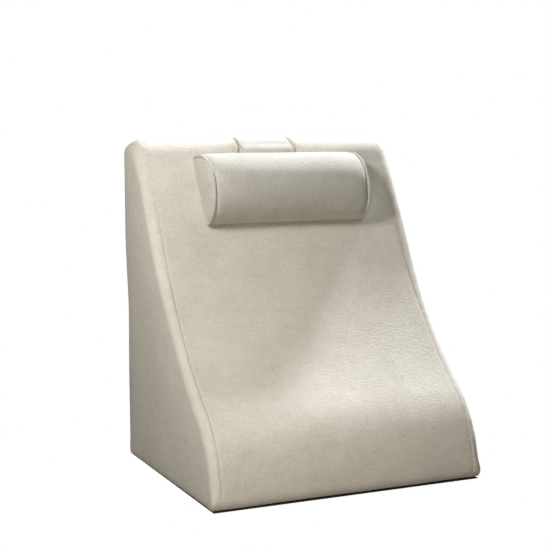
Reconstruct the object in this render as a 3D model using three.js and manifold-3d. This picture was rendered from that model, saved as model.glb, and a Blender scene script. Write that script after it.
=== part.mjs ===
// Wedge backrest with a strap-hung neck bolster, for a massage bed or a spa lounger.
// The foam wedge has an S-curved face and a removable cover with a zip low on its back.
// A half-round bolster hangs on a wide strap that runs over the ridge and down the back,
// where hook-and-loop tape holds it at the height the user wants.
//
// Millimetres, +Z up, +X to the right, the face looks towards -Y.
// The origin is the middle of the footprint, on the surface the wedge stands on.

import * as THREE from 'three';
import { mergeVertices } from 'three/addons/utils/BufferGeometryUtils.js';
import Module from 'manifold-3d';

// ---- driving dimensions ----------------------------------------------------------------

const WIDTH = 600;              // across the wedge, over both side panels
const DEPTH = 500;              // front of the nose to the upright back
const HEIGHT = 700;             // underside to the top of the ridge
const GAP = 0.3;                // between pieces that touch

const NOSE_RADIUS = 228;        // convex front that carries the lower back
const NOSE_FOOT = 8;            // upright stretch below the nose
const NOSE_TURN = THREE.MathUtils.degToRad(50);
const HOLLOW_RADIUS = 900;      // concave middle of the face
const FACE_LEAN = THREE.MathUtils.degToRad(28);   // flat upper face, back from upright
const RIDGE_RADIUS = 56;        // front edge of the ridge

const CLOTH = 3;                // cover fabric with its thin backing
const COMFORT_DEPTH = 40;       // softer foam layer under the face
const ARC_STEPS = 12;           // facets along a large arc

const STRAP_WIDTH = 124;
const STRAP_THICK = 4;
const STRAP_END = 400;          // height of the strap's free end on the back
const STRAP_SPLIT = THREE.MathUtils.degToRad(115);   // on the ridge, where its top section starts
const HOOK_HEIGHT = 60;         // hook tape at the strap's free end
const LOOP_LOW = 372;           // loop tape sewn on the back panel
const LOOP_HIGH = 572;
const TAPE_THICK = 1.5;

const BOLSTER_WIDTH = 366;
const BOLSTER_HEIGHT = 156;     // flat back, measured up the face
const BOLSTER_DEPTH = 88;       // flat back to the crown of the front
const BOLSTER_SHIFT = 8;        // it hangs a little right of the middle
const BOLSTER_DROP = 14.4;      // below the upper end of the flat face
const FACE_GAP = 0.6;           // bolster's back to the face
const WELT = 5;                 // piping round each end panel
const STRAP_TAB = 8;            // doubled strap end above the bolster
const TAB_CLEAR = 9;            // room above the bolster for it to be lifted

const BACK_ZIP_HEIGHT = 60;     // above the floor, on the back panel
const BACK_ZIP_LENGTH = 540;
const BOLSTER_ZIP_DROP = 118;   // below the bolster's upper edge, on its flat back
const BOLSTER_ZIP_LENGTH = 300;
const ZIP_SLOT = 6;             // half height of the slot that shows the coils
const ZIP_DEPTH = CLOTH + GAP + 0.5;   // zip's middle plane behind the cover's outside
const GROOVE = { half: 15, depth: 7 }; // room for the zip in the foam

// ---- derived places --------------------------------------------------------------------

// Profile points are Vector2 with x = depth (world Y) and y = height (world Z).
const point = (depth, height) => new THREE.Vector2(depth, height);

const STRAP_STACK = GAP + TAPE_THICK + GAP + TAPE_THICK + GAP;
const TOTAL_DEPTH = DEPTH + STRAP_STACK + STRAP_THICK;
const FRONT = -TOTAL_DEPTH / 2;
const BACK = FRONT + DEPTH;
const HALF = WIDTH / 2;
const SKIN = CLOTH + GAP;       // foam starts this far inside the cover

const noseCentre = point(FRONT + NOSE_RADIUS, NOSE_FOOT);
const hollowCentre = point(
  noseCentre.x - (NOSE_RADIUS + HOLLOW_RADIUS) * Math.cos(NOSE_TURN),
  noseCentre.y + (NOSE_RADIUS + HOLLOW_RADIUS) * Math.sin(NOSE_TURN),
);
// Unit vectors of the flat upper face: up along it, and out of it.
const upFace = point(Math.sin(FACE_LEAN), Math.cos(FACE_LEAN));
const outOfFace = point(-Math.cos(FACE_LEAN), Math.sin(FACE_LEAN));
const flatStart = hollowCentre.clone().addScaledVector(outOfFace, -HOLLOW_RADIUS);
const flatLength = (HEIGHT - RIDGE_RADIUS * (1 - Math.sin(FACE_LEAN)) - flatStart.y) / upFace.y;
const flatEnd = flatStart.clone().addScaledVector(upFace, flatLength);
const ridgeCentre = flatEnd.clone().addScaledVector(outOfFace, -RIDGE_RADIUS);
const SHOULDER_RADIUS = BACK - ridgeCentre.x;      // rounds the ridge into the back
const shoulderCentre = point(ridgeCentre.x, HEIGHT - SHOULDER_RADIUS);
const bolsterTop = flatEnd.clone().addScaledVector(upFace, -BOLSTER_DROP);

// ---- outlines --------------------------------------------------------------------------

function arc(centre, radius, from, to, steps = ARC_STEPS) {
  return new THREE.EllipseCurve(centre.x, centre.y, radius, radius, from, to, to < from)
    .getPoints(steps);
}

// Joins stretches of an outline and drops a point that repeats the one before it.
function chain(...stretches) {
  return stretches.flat().filter((p, i, all) => i === 0 || p.distanceTo(all[i - 1]) > 1e-4);
}

// The face from the nose up to the ridge, `inset` inside the cover's outer surface.
function faceCurve(inset, foot) {
  return chain(
    [point(FRONT + inset, foot)],
    arc(noseCentre, NOSE_RADIUS - inset, Math.PI, Math.PI - NOSE_TURN),
    arc(hollowCentre, HOLLOW_RADIUS + inset, -NOSE_TURN, -FACE_LEAN),
    [flatEnd.clone().addScaledVector(outOfFace, -inset)],
  );
}

// Over the ridge, from the end of the flat face to the start of the upright back.
function ridgeCurve(inset) {
  return chain(
    arc(ridgeCentre, RIDGE_RADIUS - inset, Math.PI - FACE_LEAN, Math.PI / 2, ARC_STEPS / 2),
    arc(shoulderCentre, SHOULDER_RADIUS - inset, Math.PI / 2, 0),
  );
}

// A strip of constant thickness that follows a curve given as a function of its inset.
function strip(curve, inset, thick) {
  return chain(curve(inset), curve(inset + thick).reverse());
}

// Notch in an outline that leaves room for a zip, for an edge at `depth` going down.
function zipGroove(depth, height) {
  return [
    point(depth, height + GROOVE.half),
    point(depth - GROOVE.depth, height + GROOVE.half),
    point(depth - GROOVE.depth, height - GROOVE.half),
    point(depth, height - GROOVE.half),
  ];
}

// The bolster's half-round section in its own frame: flat back at depth -FACE_GAP,
// upper edge at height 0, drawn from the lower back corner round the front to the upper one.
function bolsterCurve(inset) {
  const reach = BOLSTER_DEPTH - inset;
  const start = Math.asin(inset / reach);
  return new THREE.EllipseCurve(
    -FACE_GAP, -BOLSTER_HEIGHT / 2, reach, BOLSTER_HEIGHT / 2 - inset,
    1.5 * Math.PI - start, 0.5 * Math.PI + start, true,
  ).getPoints(2 * ARC_STEPS);
}

function rectangle(left, right, low, high) {
  return [point(left, low), point(right, low), point(right, high), point(left, high)];
}

// ---- solids ----------------------------------------------------------------------------

function extruded(outline, length, holes = []) {
  const turnsLeft = !THREE.ShapeUtils.isClockWise(outline);
  const shape = new THREE.Shape(turnsLeft ? outline : [...outline].reverse());
  shape.holes = holes.map((hole) => new THREE.Path(hole));
  return new THREE.ExtrudeGeometry(shape, { depth: length, bevelEnabled: false });
}

// An outline in the depth-height plane, swept along X from `left` to `right`.
function acrossWidth(outline, left, right, holes) {
  const sideways = new THREE.Matrix4().makeBasis(
    new THREE.Vector3(0, 1, 0), new THREE.Vector3(0, 0, 1), new THREE.Vector3(1, 0, 0),
  );
  return extruded(outline, right - left, holes).applyMatrix4(sideways).translate(left, 0, 0);
}

// An outline in the width-height plane, swept along Y from `near` to `far`.
function throughDepth(outline, near, far, holes) {
  return extruded(outline, far - near, holes).rotateX(Math.PI / 2).translate(0, far, 0);
}

function block([left, right], [near, far], [low, high]) {
  return new THREE.BoxGeometry(right - left, far - near, high - low)
    .translate((left + right) / 2, (near + far) / 2, (low + high) / 2);
}

const manifold = await Module();
manifold.setup();

function toManifold(geometry) {
  const bare = geometry.clone();
  bare.deleteAttribute('normal');
  bare.deleteAttribute('uv');
  const merged = mergeVertices(bare, 1e-4);
  return new manifold.Manifold(new manifold.Mesh({
    numProp: 3,
    vertProperties: new Float32Array(merged.attributes.position.array),
    triVerts: new Uint32Array(merged.index.array),
  }));
}

function union(...geometries) {
  const mesh = geometries.map(toManifold).reduce((a, b) => a.add(b)).getMesh();
  const joined = new THREE.BufferGeometry();
  joined.setAttribute('position', new THREE.BufferAttribute(mesh.vertProperties, 3));
  joined.setIndex(new THREE.BufferAttribute(mesh.triVerts, 1));
  joined.computeVertexNormals();
  return joined;
}

// ---- finishes and parts ----------------------------------------------------------------

const FINISH = {
  velour: { color: 0xe6ded0, roughness: 0.95, metalness: 0 },
  firmFoam: { color: 0xd8d2c2, roughness: 1, metalness: 0 },
  softFoam: { color: 0xf2efe4, roughness: 1, metalness: 0 },
  gripCloth: { color: 0x4a463f, roughness: 0.9, metalness: 0 },
  tape: { color: 0xd9cfbd, roughness: 0.85, metalness: 0 },
  coil: { color: 0xe8e2d4, roughness: 0.4, metalness: 0 },
  metal: { color: 0xb9bbbd, roughness: 0.3, metalness: 1 },
};

function part(name, geometry, finish) {
  const mesh = new THREE.Mesh(geometry, new THREE.MeshStandardMaterial(finish));
  mesh.name = name;
  return mesh;
}

// ---- wedge -----------------------------------------------------------------------------

function wedgeFoam() {
  const foot = SKIN;
  const join = SKIN + COMFORT_DEPTH;
  const span = HALF - SKIN;
  const back = BACK - SKIN;
  const core = chain(
    faceCurve(join + GAP, foot),
    ridgeCurve(SKIN),
    zipGroove(back, BACK_ZIP_HEIGHT),
    [point(back, foot)],
  );
  const layer = strip((inset) => faceCurve(inset, foot), SKIN, COMFORT_DEPTH);
  for (const p of layer) {
    if (p.y > flatEnd.y - RIDGE_RADIUS) p.addScaledVector(upFace, -GAP);
  }
  return [
    part('backrest_core_foam', acrossWidth(core, -span, span), FINISH.firmFoam),
    part('backrest_comfort_foam', acrossWidth(layer, -span, span), FINISH.softFoam),
  ];
}

function wedgeCover() {
  const foot = SKIN;
  const span = HALF - SKIN;
  const side = chain(faceCurve(0, foot), ridgeCurve(0), [point(BACK, foot)]);
  const front = strip((inset) => chain(faceCurve(inset, foot), ridgeCurve(inset)), 0, CLOTH);
  const backPanel = (low, high) => acrossWidth(
    rectangle(BACK - CLOTH, BACK, low, high), -span, span,
  );
  return [
    part('cover_front_panel', acrossWidth(front, -span, span), FINISH.velour),
    part('cover_side_left', acrossWidth(side, -HALF, CLOTH - HALF), FINISH.velour),
    part('cover_side_right', acrossWidth(side, HALF - CLOTH, HALF), FINISH.velour),
    part(
      'cover_back_panel',
      backPanel(BACK_ZIP_HEIGHT + ZIP_SLOT, shoulderCentre.y - GAP),
      FINISH.velour,
    ),
    part('cover_back_hem_strip', backPanel(foot, BACK_ZIP_HEIGHT - ZIP_SLOT), FINISH.velour),
    part('cover_base_panel', block([-HALF, HALF], [FRONT, BACK], [0, CLOTH]), FINISH.gripCloth),
  ];
}

// ---- strap -----------------------------------------------------------------------------

const STRAP_SIDE = STRAP_WIDTH / 2;

// The doubled end lies flat on the face, between two distances above the bolster.
function strapEndTab(low, high) {
  const corner = (rise, lift) => bolsterTop.clone()
    .addScaledVector(upFace, rise)
    .addScaledVector(outOfFace, lift);
  const outline = [
    corner(low, GAP), corner(high, GAP),
    corner(high, GAP + STRAP_THICK), corner(low, GAP + STRAP_THICK),
  ];
  return acrossWidth(outline, -STRAP_SIDE, STRAP_SIDE);
}

// Along the ridge's rounded front edge, between two angles.
function strapOnFrontEdge(from, to) {
  const curve = (inset) => arc(ridgeCentre, RIDGE_RADIUS - inset, from, to, ARC_STEPS / 2);
  return acrossWidth(strip(curve, -GAP - STRAP_THICK, STRAP_THICK), -STRAP_SIDE, STRAP_SIDE);
}

// Over the top of the ridge and down its rounded back edge.
function strapOnTop(from) {
  const curve = (inset) => chain(
    arc(ridgeCentre, RIDGE_RADIUS - inset, from, Math.PI / 2, ARC_STEPS / 2),
    arc(shoulderCentre, SHOULDER_RADIUS - inset, Math.PI / 2, 0),
  );
  return acrossWidth(strip(curve, -GAP - STRAP_THICK, STRAP_THICK), -STRAP_SIDE, STRAP_SIDE);
}

// The strap leaves the back panel above the loop tape and lies over it and the hook tape.
function strapOnBack() {
  const top = shoulderCentre.y - GAP;
  const jogTop = LOOP_HIGH + 20;
  const jogLow = LOOP_HIGH + 5;
  const run = (lift) => [
    point(BACK + GAP + lift, top),
    point(BACK + GAP + lift, jogTop),
    point(BACK + STRAP_STACK + lift, jogLow),
    point(BACK + STRAP_STACK + lift, STRAP_END),
  ];
  return acrossWidth([...run(0), ...run(STRAP_THICK).reverse()], -STRAP_SIDE, STRAP_SIDE);
}

function strapParts() {
  const tabEnd = TAB_CLEAR + STRAP_TAB;
  const frontStart = Math.PI - FACE_LEAN - (tabEnd + 2 * GAP - BOLSTER_DROP) / RIDGE_RADIUS;
  const loopFace = BACK + GAP;
  const hookFace = loopFace + TAPE_THICK + GAP;
  const inner = STRAP_SIDE - 4;
  return [
    part('strap_end_tab', strapEndTab(TAB_CLEAR, tabEnd), FINISH.velour),
    part('strap_front_section', strapOnFrontEdge(frontStart, STRAP_SPLIT), FINISH.velour),
    part('strap_top_section', strapOnTop(STRAP_SPLIT - GAP / RIDGE_RADIUS), FINISH.velour),
    part('strap_rear_section', strapOnBack(), FINISH.velour),
    part(
      'strap_hook_tape',
      block([-inner, inner], [hookFace, hookFace + TAPE_THICK],
        [STRAP_END + 2, STRAP_END + 2 + HOOK_HEIGHT]),
      FINISH.tape,
    ),
    part(
      'back_loop_tape',
      block([-inner, inner], [loopFace, loopFace + TAPE_THICK], [LOOP_LOW, LOOP_HIGH]),
      FINISH.tape,
    ),
  ];
}

// ---- zips ------------------------------------------------------------------------------

// A coil zip in its own frame: X along it, +Y out of the cover, Z across it, closed, with
// the slider parked at the right. `pull` adds the arch on the slider and the pull tab.
const COIL = { inner: 0.7, outer: 2.5, half: 1 };
const ZIP_TAPE = { inner: 2.8, outer: 14, half: 0.4 };
const SLIDER = { length: 12, half: 4.5, inner: 1.3, outer: 2.1, blade: 0.4, park: 10 };
const ARCH = { foot: 2.4, end: 3.2, half: 1.2, under: 4, top: 4.7 };
const PULL = { axis: 3.1, half: 0.5, bar: 0.6, eye: 4.6, length: 20, legIn: 2, legOut: 3.4 };

function slider(withArch) {
  const along = [-SLIDER.length / 2, SLIDER.length / 2];
  const across = [-SLIDER.half, SLIDER.half];
  const bodies = [
    block(along, [SLIDER.inner, SLIDER.outer], across),
    block(along, [-SLIDER.outer, -SLIDER.inner], across),
    block([-3, 3], [-SLIDER.outer, SLIDER.outer], [-SLIDER.blade, SLIDER.blade]),
  ];
  if (withArch) {
    const arch = [
      point(-ARCH.end, SLIDER.inner), point(-ARCH.foot, SLIDER.inner),
      point(-ARCH.foot, ARCH.under), point(ARCH.foot, ARCH.under),
      point(ARCH.foot, SLIDER.inner), point(ARCH.end, SLIDER.inner),
      point(ARCH.end, ARCH.top), point(-ARCH.end, ARCH.top),
    ];
    bodies.push(extruded(arch, 2 * ARCH.half).translate(0, 0, -ARCH.half));
  }
  return union(...bodies);
}

function pullTab() {
  const eye = rectangle(-PULL.eye, -PULL.bar, -PULL.legIn, PULL.legIn);
  const round = arc(point(-PULL.length + PULL.legOut, 0), PULL.legOut,
    0.5 * Math.PI, 1.5 * Math.PI, 8);
  const outline = [point(PULL.bar, -PULL.legOut), point(PULL.bar, PULL.legOut), ...round];
  return throughDepth(outline, PULL.axis - PULL.half, PULL.axis + PULL.half, [eye]);
}

function zip(name, length, hasPull) {
  const half = length / 2;
  const group = new THREE.Group();
  for (const [side, sign] of [['upper', 1], ['lower', -1]]) {
    const span = (low, high) => (sign > 0 ? [low, high] : [-high, -low]);
    const coil = span(COIL.inner, COIL.outer);
    const tape = span(ZIP_TAPE.inner, ZIP_TAPE.outer);
    const tapeDepth = [-ZIP_TAPE.half, ZIP_TAPE.half];
    const coilDepth = [-COIL.half, COIL.half];
    group.add(
      part(`${name}_tape_${side}`, block([-half - 8, half + 8], tapeDepth, tape), FINISH.tape),
      part(`${name}_coil_${side}`, block([-half, half], coilDepth, coil), FINISH.coil),
      part(`${name}_top_stop_${side}`,
        block([half + GAP, half + GAP + 3], coilDepth, coil), FINISH.metal),
    );
  }
  const bottomStop = block(
    [-half - GAP - 4, -half - GAP], [-COIL.half, COIL.half], [-COIL.outer, COIL.outer],
  );
  group.add(part(`${name}_bottom_stop`, bottomStop, FINISH.metal));

  const runner = new THREE.Group();
  runner.position.x = half - SLIDER.park;
  runner.add(part(`${name}_slider`, slider(hasPull), FINISH.metal));
  if (hasPull) runner.add(part(`${name}_pull`, pullTab(), FINISH.metal));
  group.add(runner);
  return group;
}

function wedgeZip() {
  const group = zip('cover_zip', BACK_ZIP_LENGTH, true);
  group.position.set(0, BACK - ZIP_DEPTH, BACK_ZIP_HEIGHT);
  return group;
}

// ---- bolster ---------------------------------------------------------------------------

const BOLSTER_SIDE = BOLSTER_WIDTH / 2;

function bolsterCover() {
  const span = BOLSTER_SIDE - WELT - GAP;
  const wrap = strip(bolsterCurve, 0, CLOTH).filter((p) => p.x < -FACE_GAP - SKIN);
  const backFlap = (low, high) => acrossWidth(
    rectangle(-FACE_GAP - CLOTH, -FACE_GAP, low, high), -span, span,
  );
  const welt = (left) => acrossWidth(bolsterCurve(0), left, left + WELT, [bolsterCurve(WELT)]);
  const endPanel = (left) => acrossWidth(bolsterCurve(WELT + GAP), left, left + CLOTH);
  return [
    part('bolster_cover_wrap', acrossWidth(wrap, -span, span), FINISH.velour),
    part('bolster_back_panel', backFlap(-BOLSTER_ZIP_DROP + ZIP_SLOT, -GAP), FINISH.velour),
    part(
      'bolster_back_hem_strip',
      backFlap(-BOLSTER_HEIGHT + GAP, -BOLSTER_ZIP_DROP - ZIP_SLOT),
      FINISH.velour,
    ),
    part('bolster_end_left', endPanel(1 - BOLSTER_SIDE), FINISH.velour),
    part('bolster_end_right', endPanel(BOLSTER_SIDE - 1 - CLOTH), FINISH.velour),
    part('bolster_welt_left', welt(-BOLSTER_SIDE), FINISH.velour),
    part('bolster_welt_right', welt(BOLSTER_SIDE - WELT), FINISH.velour),
  ];
}

function bolsterFoam() {
  const span = BOLSTER_SIDE - 1 - CLOTH - 2 * GAP - 1;
  const back = -FACE_GAP - SKIN;
  const outline = [...bolsterCurve(SKIN), ...zipGroove(back, -BOLSTER_ZIP_DROP)];
  return part('bolster_core_foam', acrossWidth(outline, -span, span), FINISH.softFoam);
}

// The bolster's frame sits on the face at its upper edge, leaning back with the face.
function bolster() {
  const group = new THREE.Group();
  group.position.set(BOLSTER_SHIFT, bolsterTop.x, bolsterTop.y);
  group.rotation.x = -FACE_LEAN;
  const closure = zip('bolster_zip', BOLSTER_ZIP_LENGTH, false);
  closure.position.set(0, -FACE_GAP - ZIP_DEPTH, -BOLSTER_ZIP_DROP);
  group.add(bolsterFoam(), ...bolsterCover(), closure);
  return group;
}

// ---- assembly --------------------------------------------------------------------------

const backrest = new THREE.Group();
backrest.add(...wedgeFoam(), ...wedgeCover(), ...strapParts(), wedgeZip(), bolster());

export default backrest;
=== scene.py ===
"""Looks of the wedge backrest with its strap-hung neck bolster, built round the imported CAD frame.

Metres, +Z up, +X to the right, the face looks towards -Y. The wedge's cover is drawn along its side
profile, so every panel, seam and foam block follows the same curve. The bolster has a frame of its
own on the flat upper face, and its cover is blown up by a short cloth simulation.
"""
import math

import bmesh
import bpy
import numpy as np
from mathutils import Matrix, Vector, noise


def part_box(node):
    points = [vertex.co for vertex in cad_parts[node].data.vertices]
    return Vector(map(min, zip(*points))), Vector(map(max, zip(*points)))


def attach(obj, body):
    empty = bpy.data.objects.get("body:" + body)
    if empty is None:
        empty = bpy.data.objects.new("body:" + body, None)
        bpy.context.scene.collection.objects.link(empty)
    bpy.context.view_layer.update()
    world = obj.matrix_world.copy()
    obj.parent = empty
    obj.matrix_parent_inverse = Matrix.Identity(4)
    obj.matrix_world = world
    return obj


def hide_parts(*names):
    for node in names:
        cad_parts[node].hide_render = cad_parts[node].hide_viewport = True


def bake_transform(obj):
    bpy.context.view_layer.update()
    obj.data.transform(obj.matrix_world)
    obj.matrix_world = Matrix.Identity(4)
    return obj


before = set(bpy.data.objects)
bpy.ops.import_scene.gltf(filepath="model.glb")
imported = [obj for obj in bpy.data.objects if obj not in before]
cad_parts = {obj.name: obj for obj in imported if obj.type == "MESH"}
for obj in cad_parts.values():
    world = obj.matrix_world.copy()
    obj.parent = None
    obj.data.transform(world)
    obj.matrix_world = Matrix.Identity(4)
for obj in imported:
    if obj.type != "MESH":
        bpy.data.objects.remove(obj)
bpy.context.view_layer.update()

MM = 0.001
QUARTER = math.pi / 2
CUT_EDGE_ANGLE = math.radians(60)  # edges sharper than this are shaded as cut cloth

# ---- sizes, as in the CAD part -----------------------------------------------------------------------

base_low, base_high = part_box("cover_base_panel")
HALF = base_high.x                 # side panels, from the middle
FRONT, BACK = base_low.y, base_high.y
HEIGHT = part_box("cover_front_panel")[1].z
NOSE_RADIUS, NOSE_TURN = 228 * MM, math.radians(50)
HOLLOW_RADIUS = 900 * MM
FACE_LEAN = math.radians(28)
RIDGE_RADIUS = 56 * MM
NOSE_FOOT = 8 * MM                 # the nose starts this high
BASE_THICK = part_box("cover_base_panel")[1].z
CORNER = NOSE_FOOT - BASE_THICK    # radius of the cover's bottom edges
FOOT_ROLL = 24 * MM                # how far up the foam's foot is rounded over, on top of that
ROLL_SIDE_SHARE = (0.35, 0.15)     # share of that roll at the sides, at the front and at the back
CLOTH = 2 * MM

SEAM_IN = 20 * MM                  # side seams, in from the sides
EDGE = 18 * MM                     # radius of the face's side edges
RIDGE_EDGE = 26 * MM               # radius of the ridge's drooping ends
BACK_EDGE = 8 * MM                 # radius of the back's side edges
SIDE_CROWN = 9 * MM                # bulge in the middle of a side panel
SIDE_SWELL = 5 * MM                # how much wider the upper half of the wedge is

ZIP_SLOT = 6 * MM                  # half height of the slot that shows a zip's coils
ZIP_DEPTH = 3.8 * MM               # zip's middle plane behind the cover's outside
zip_low, zip_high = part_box("cover_zip_coil_lower")[0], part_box("cover_zip_coil_upper")[1]
BACK_ZIP_HEIGHT = (zip_low.z + zip_high.z) / 2
BACK_ZIP_HALF = zip_high.x

STRAP_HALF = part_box("strap_top_section")[1].x
STRAP_THICK = 4 * MM
STRAP_GAP = 0.3 * MM               # to what it lies on
STRAP_SPLIT = 31.4 * MM            # fixed part of the strap starts this far past the flat face
STRAP_FREE = 15 * MM               # it starts to slide this far past the flat face
STRAP_PRESS = 2.4 * MM             # how deep it presses into the ridge
CREASE = 7 * MM                    # depth of the cover's creases beside it
STRAP_BEND = 13 * MM               # it bends over this length above the bolster
STRAP_BRIDGE = 3 * MM              # how far it stands off the face at the bolster

BOLSTER_DROP = 14.4 * MM           # upper edge, below the end of the flat face
BOLSTER_HEIGHT = 156 * MM          # flat back, measured up the face
BOLSTER_DEPTH = 75 * MM            # at the end seams; the stuffing crowns the middle
BOLSTER_SAG = 4 * MM
BOLSTER_ZIP_DROP = 118 * MM
BOLSTER_ZIP_HALF = 150 * MM
FACE_GAP = 0.6 * MM                # bolster's back to the face
WELT_RADIUS = 2.6 * MM
WELT_WIDTH = 5 * MM
BOLSTER_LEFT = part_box("bolster_welt_left")[0].x + WELT_WIDTH / 2
BOLSTER_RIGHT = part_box("bolster_welt_right")[1].x - WELT_WIDTH / 2
BOLSTER_MIDDLE = (BOLSTER_LEFT + BOLSTER_RIGHT) / 2


# ---- camera, floor and light -------------------------------------------------------------------------

def look_along(azimuth, elevation):
    """Unit vector from the object to a viewer at that azimuth and elevation, in degrees."""
    a, e = math.radians(azimuth), math.radians(elevation)
    return Vector((math.sin(a) * math.cos(e), -math.cos(a) * math.cos(e), math.sin(e)))


def make_camera():
    back = look_along(-24.5, 6.86)
    target = Vector((-0.0574, (FRONT + BACK) / 2, 0.418))
    data = bpy.data.cameras.new("camera")
    data.sensor_width = 36
    data.lens = 85.1
    data.clip_start, data.clip_end = 0.1, 100
    camera = bpy.data.objects.new("camera", data)
    camera.location = target + back * 2.7264
    camera.rotation_mode = "QUATERNION"
    camera.rotation_quaternion = (-back).to_track_quat("-Z", "Y")
    bpy.context.scene.collection.objects.link(camera)
    bpy.context.scene.camera = camera


def area_light(name, azimuth, elevation, distance, size, watts, colour, middle=(0, 0, 0.35)):
    toward = look_along(azimuth, elevation)
    data = bpy.data.lights.new(name, "AREA")
    data.shape = "DISK"
    data.size = size
    data.energy = watts
    data.color = colour
    lamp = bpy.data.objects.new(name, data)
    lamp.location = Vector(middle) + toward * distance
    lamp.rotation_mode = "QUATERNION"
    lamp.rotation_quaternion = toward.to_track_quat("Z", "Y")
    bpy.context.scene.collection.objects.link(lamp)


def make_world():
    """Soft light from above, much less from below."""
    world = bpy.data.worlds.new("studio")
    bpy.context.scene.world = world
    world.use_nodes = True
    tree = world.node_tree
    coords = node(tree, "ShaderNodeTexCoord").outputs["Generated"]
    height = node(tree, "ShaderNodeSeparateXYZ", {0: coords}).outputs["Z"]
    ramp = node(tree, "ShaderNodeValToRGB", {"Fac": scaled(tree, height, 0.5, 0.5)})
    ramp.color_ramp.elements[0].position = 0.30
    ramp.color_ramp.elements[0].color = (0.05, 0.043, 0.034, 1)
    ramp.color_ramp.elements[1].position = 0.95
    ramp.color_ramp.elements[1].color = (0.16, 0.15, 0.135, 1)
    tree.links.new(ramp.outputs[0], tree.nodes["Background"].inputs["Color"])


def only_seen_by_camera(obj):
    obj.visible_diffuse = False
    obj.visible_glossy = False
    obj.visible_transmission = False
    obj.visible_shadow = False


def paper(name, diffuse, glow):
    mat, shader, _ = new_material(name)
    shader.inputs["Base Color"].default_value = (diffuse, diffuse, diffuse, 1)
    shader.inputs["Roughness"].default_value = 1
    shader.inputs["Specular IOR Level"].default_value = 0
    shader.inputs["Emission Color"].default_value = (1, 1, 1, 1)
    shader.inputs["Emission Strength"].default_value = glow
    return mat


def make_studio():
    bpy.ops.mesh.primitive_circle_add(vertices=64, radius=30, fill_type="NGON", location=(0, 0, -MM))
    floor = bpy.context.object
    floor.name = "floor"
    floor.data.materials.append(paper("floor_paper", 0, 1.0))
    bpy.ops.mesh.primitive_uv_sphere_add(segments=48, ring_count=24, radius=31)
    backdrop = bpy.context.object
    backdrop.name = "backdrop"
    backdrop.data.materials.append(paper("backdrop_white", 0, 1.0))
    for obj in (floor, backdrop):
        only_seen_by_camera(obj)
    area_light("key", 124, 46, 3.2, 0.7, 220, (0.88, 0.93, 1.0))
    area_light("fill", -65, 32, 1.3, 0.4, 13, (1.0, 0.98, 0.95), middle=(0, -0.1, 0.6))
    area_light("low_fill", -32, 3, 1.35, 0.5, 6.5, (1.0, 0.95, 0.84), middle=(0, -0.2, 0.15))
    make_world()
    bpy.context.scene.view_settings.view_transform = "Standard"


# ---- curves in the depth-height plane ----------------------------------------------------------------

class Profile:
    """A curve walked at 1 mm steps, with its headings. Its outside is on the left of travel."""

    def __init__(self, start, heading):
        self.points, self.headings = [np.array(start, float)], [heading]
        self.marks = {}

    def line(self, length):
        self._walk(length, 0.0)
        return self

    def arc(self, radius, turn):
        """turn is positive to the left, in radians."""
        self._walk(abs(radius * turn), turn)
        return self

    def mark(self, name):
        self.marks[name] = self.length
        return self

    @property
    def length(self):
        return float(np.linalg.norm(np.diff(self.points, axis=0), axis=1).sum())

    def _walk(self, length, turn):
        steps = max(2, round(length / MM))
        for _ in range(steps):
            half = self.headings[-1] + turn / steps / 2
            ahead = np.array((math.cos(half), math.sin(half)))
            self.points.append(self.points[-1] + ahead * length / steps)
            self.headings.append(self.headings[-1] + turn / steps)

    def at(self, s):
        """Points and outward normals at lengths s."""
        points, headings = np.array(self.points), np.array(self.headings)
        along = np.concatenate([[0], np.cumsum(np.linalg.norm(np.diff(points, axis=0), axis=1))])
        place = np.stack([np.interp(s, along, points[:, k]) for k in (0, 1)], axis=-1)
        angle = np.interp(s, along, headings) + QUARTER
        return place, np.stack([np.cos(angle), np.sin(angle)], axis=-1)


def wedge_profile():
    """Round the wedge: up the nose and the hollow, over the ridge, down the back, along the base."""
    flat_start_y = FRONT + NOSE_RADIUS - (NOSE_RADIUS + HOLLOW_RADIUS) * math.cos(NOSE_TURN) \
        + HOLLOW_RADIUS * math.cos(FACE_LEAN)
    flat_start_z = NOSE_FOOT + (NOSE_RADIUS + HOLLOW_RADIUS) * math.sin(NOSE_TURN) \
        - HOLLOW_RADIUS * math.sin(FACE_LEAN)
    rise = HEIGHT - RIDGE_RADIUS * (1 - math.sin(FACE_LEAN)) - flat_start_z
    flat = rise / math.cos(FACE_LEAN)
    ridge_y = flat_start_y + flat * math.sin(FACE_LEAN) + RIDGE_RADIUS * math.cos(FACE_LEAN)
    shoulder = BACK - ridge_y
    walk = Profile((FRONT + CORNER, BASE_THICK), math.pi)
    walk.arc(CORNER, -QUARTER).mark("nose")
    walk.arc(NOSE_RADIUS, -NOSE_TURN).mark("hollow")
    walk.arc(HOLLOW_RADIUS, NOSE_TURN - FACE_LEAN).mark("flat")
    walk.line(flat).mark("ridge")
    walk.arc(RIDGE_RADIUS, FACE_LEAN - QUARTER).mark("crest")
    walk.arc(shoulder, -QUARTER).mark("back")
    walk.line(HEIGHT - shoulder - NOSE_FOOT).mark("back_foot")
    walk.arc(CORNER, -QUARTER).mark("base")
    walk.line(BACK - FRONT - 2 * CORNER)
    return walk


wedge = wedge_profile()

# The bolster's place: its upper edge on the face, and the directions up and out of the face.
EDGE_PLACE = wedge.at(wedge.marks["ridge"] - BOLSTER_DROP)[0]
UP_FACE = np.array((0, math.sin(FACE_LEAN), math.cos(FACE_LEAN)))
OUT_OF_FACE = np.array((0, -math.cos(FACE_LEAN), math.sin(FACE_LEAN)))


def on_face(x, up, out):
    """Points at x, a distance up from the bolster's upper edge, and a distance out of the face."""
    x, up, out = np.broadcast_arrays(x, up, out)
    edge = np.array((0, *EDGE_PLACE))
    return edge + x[..., None] * (1, 0, 0) + up[..., None] * UP_FACE + out[..., None] * OUT_OF_FACE


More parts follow.
